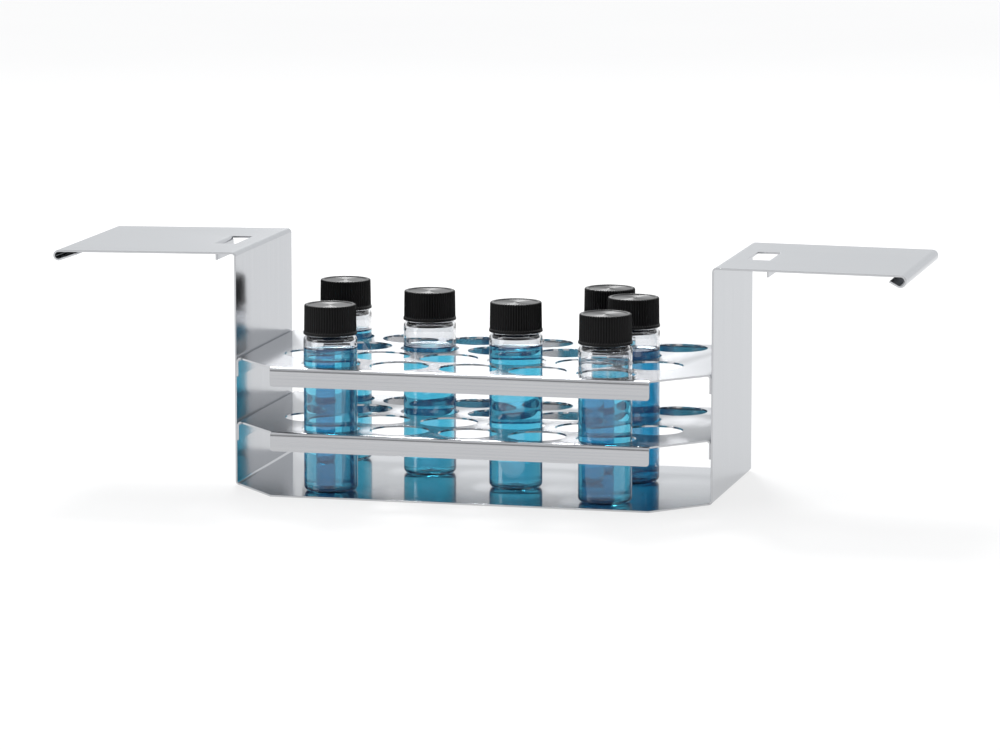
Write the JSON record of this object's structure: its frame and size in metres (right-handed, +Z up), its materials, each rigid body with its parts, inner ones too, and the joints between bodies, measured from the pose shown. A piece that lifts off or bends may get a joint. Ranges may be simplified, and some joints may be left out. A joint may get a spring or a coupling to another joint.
{
  "type": "test tube rack",
  "caption": "Stainless sheet rack with two perforated tiers that hangs in a water bath by two hemmed side flanges, holding capped glass vials of blue liquid.",
  "frame": {"origin": "underside of the base, in the middle of the rack's own box", "axes": "+Z up, X across the rack from wall to wall, -Y towards the open front with the cut corners"},
  "size_m": [0.455, 0.135, 0.1235],
  "materials": {
    "frame_steel": "cold-rolled stainless sheet, satin to bright",
    "tier_steel": "cold-rolled stainless sheet, satin to bright",
    "weld_nugget": "fused stainless",
    "vial_glass": "clear borosilicate glass",
    "blue_liquid": "clear blue water-like liquid",
    "cap_liner": "matte sealing liner",
    "vial_cap": "moulded black plastic, ribbed"
  },
  "bodies": {
    "root": {"hanger_frame": "frame_steel", "upper_tier": "tier_steel", "lower_tier": "tier_steel", "upper_welds_left": "weld_nugget", "upper_welds_right": "weld_nugget", "lower_welds_left": "weld_nugget", "lower_welds_right": "weld_nugget"},
    "vial_1": {"vial_1_glass": "vial_glass", "vial_1_liquid": "blue_liquid"},
    "vial_1_liner": {"vial_1_liner": "cap_liner"},
    "vial_1_cap": {"vial_1_cap": "vial_cap"},
    "vial_2": {"vial_2_glass": "vial_glass", "vial_2_liquid": "blue_liquid"},
    "vial_2_liner": {"vial_2_liner": "cap_liner"},
    "vial_2_cap": {"vial_2_cap": "vial_cap"},
    "vial_3": {"vial_3_glass": "vial_glass", "vial_3_liquid": "blue_liquid"},
    "vial_3_liner": {"vial_3_liner": "cap_liner"},
    "vial_3_cap": {"vial_3_cap": "vial_cap"},
    "vial_4": {"vial_4_glass": "vial_glass", "vial_4_liquid": "blue_liquid"},
    "vial_4_liner": {"vial_4_liner": "cap_liner"},
    "vial_4_cap": {"vial_4_cap": "vial_cap"},
    "vial_5": {"vial_5_glass": "vial_glass", "vial_5_liquid": "blue_liquid"},
    "vial_5_liner": {"vial_5_liner": "cap_liner"},
    "vial_5_cap": {"vial_5_cap": "vial_cap"},
    "vial_6": {"vial_6_glass": "vial_glass", "vial_6_liquid": "blue_liquid"},
    "vial_6_liner": {"vial_6_liner": "cap_liner"},
    "vial_6_cap": {"vial_6_cap": "vial_cap"},
    "vial_7": {"vial_7_glass": "vial_glass", "vial_7_liquid": "blue_liquid"},
    "vial_7_liner": {"vial_7_liner": "cap_liner"},
    "vial_7_cap": {"vial_7_cap": "vial_cap"}
  },
  "joints": [
    {"name": "vial_1_lift", "type": "slide", "parent": "root", "child": "vial_1", "axis": [0, 0, 1], "range_m": [0, 0.125]},
    {"name": "vial_1_liner_rise", "type": "slide", "parent": "vial_1", "child": "vial_1_liner", "axis": [0, 0, 1], "range_m": [0, 0.00635]},
    {"name": "vial_1_cap_turn", "type": "hinge", "parent": "vial_1_liner", "child": "vial_1_cap", "pos_m": [-0.0738, -0.0457, 0.0919], "axis": [0, 0, 1], "range_deg": [0, 720]},
    {"name": "vial_2_lift", "type": "slide", "parent": "root", "child": "vial_2", "axis": [0, 0, 1], "range_m": [0, 0.125]},
    {"name": "vial_2_liner_rise", "type": "slide", "parent": "vial_2", "child": "vial_2_liner", "axis": [0, 0, 1], "range_m": [0, 0.00635]},
    {"name": "vial_2_cap_turn", "type": "hinge", "parent": "vial_2_liner", "child": "vial_2_cap", "pos_m": [-0.09175, 0.0497, 0.0919], "axis": [0, 0, 1], "range_deg": [0, 720]},
    {"name": "vial_3_lift", "type": "slide", "parent": "root", "child": "vial_3", "axis": [0, 0, 1], "range_m": [0, 0.125]},
    {"name": "vial_3_liner_rise", "type": "slide", "parent": "vial_3", "child": "vial_3_liner", "axis": [0, 0, 1], "range_m": [0, 0.00635]},
    {"name": "vial_3_cap_turn", "type": "hinge", "parent": "vial_3_liner", "child": "vial_3_cap", "pos_m": [-0.0367, 0.0179, 0.0919], "axis": [0, 0, 1], "range_deg": [0, 720]},
    {"name": "vial_4_lift", "type": "slide", "parent": "root", "child": "vial_4", "axis": [0, 0, 1], "range_m": [0, 0.125]},
    {"name": "vial_4_liner_rise", "type": "slide", "parent": "vial_4", "child": "vial_4_liner", "axis": [0, 0, 1], "range_m": [0, 0.00635]},
    {"name": "vial_4_cap_turn", "type": "hinge", "parent": "vial_4_liner", "child": "vial_4_cap", "pos_m": [0.01795, -0.0139, 0.0919], "axis": [0, 0, 1], "range_deg": [0, 720]},
    {"name": "vial_5_lift", "type": "slide", "parent": "root", "child": "vial_5", "axis": [0, 0, 1], "range_m": [0, 0.125]},
    {"name": "vial_5_liner_rise", "type": "slide", "parent": "vial_5", "child": "vial_5_liner", "axis": [0, 0, 1], "range_m": [0, 0.00635]},
    {"name": "vial_5_cap_turn", "type": "hinge", "parent": "vial_5_liner", "child": "vial_5_cap", "pos_m": [0.05415, 0.0497, 0.0919], "axis": [0, 0, 1], "range_deg": [0, 720]},
    {"name": "vial_6_lift", "type": "slide", "parent": "root", "child": "vial_6", "axis": [0, 0, 1], "range_m": [0, 0.125]},
    {"name": "vial_6_liner_rise", "type": "slide", "parent": "vial_6", "child": "vial_6_liner", "axis": [0, 0, 1], "range_m": [0, 0.00635]},
    {"name": "vial_6_cap_turn", "type": "hinge", "parent": "vial_6_liner", "child": "vial_6_cap", "pos_m": [0.0739, 0.0179, 0.0919], "axis": [0, 0, 1], "range_deg": [0, 720]},
    {"name": "vial_7_lift", "type": "slide", "parent": "root", "child": "vial_7", "axis": [0, 0, 1], "range_m": [0, 0.125]},
    {"name": "vial_7_liner_rise", "type": "slide", "parent": "vial_7", "child": "vial_7_liner", "axis": [0, 0, 1], "range_m": [0, 0.00635]},
    {"name": "vial_7_cap_turn", "type": "hinge", "parent": "vial_7_liner", "child": "vial_7_cap", "pos_m": [0.0729, -0.0457, 0.0919], "axis": [0, 0, 1], "range_deg": [0, 720]}
  ],
  "couplings": [
    {"joint": "vial_1_liner_rise", "follows": "vial_1_cap_turn", "m_per_rad": 0.00050532},
    {"joint": "vial_2_liner_rise", "follows": "vial_2_cap_turn", "m_per_rad": 0.00050532},
    {"joint": "vial_3_liner_rise", "follows": "vial_3_cap_turn", "m_per_rad": 0.00050532},
    {"joint": "vial_4_liner_rise", "follows": "vial_4_cap_turn", "m_per_rad": 0.00050532},
    {"joint": "vial_5_liner_rise", "follows": "vial_5_cap_turn", "m_per_rad": 0.00050532},
    {"joint": "vial_6_liner_rise", "follows": "vial_6_cap_turn", "m_per_rad": 0.00050532},
    {"joint": "vial_7_liner_rise", "follows": "vial_7_cap_turn", "m_per_rad": 0.00050532}
  ]
}
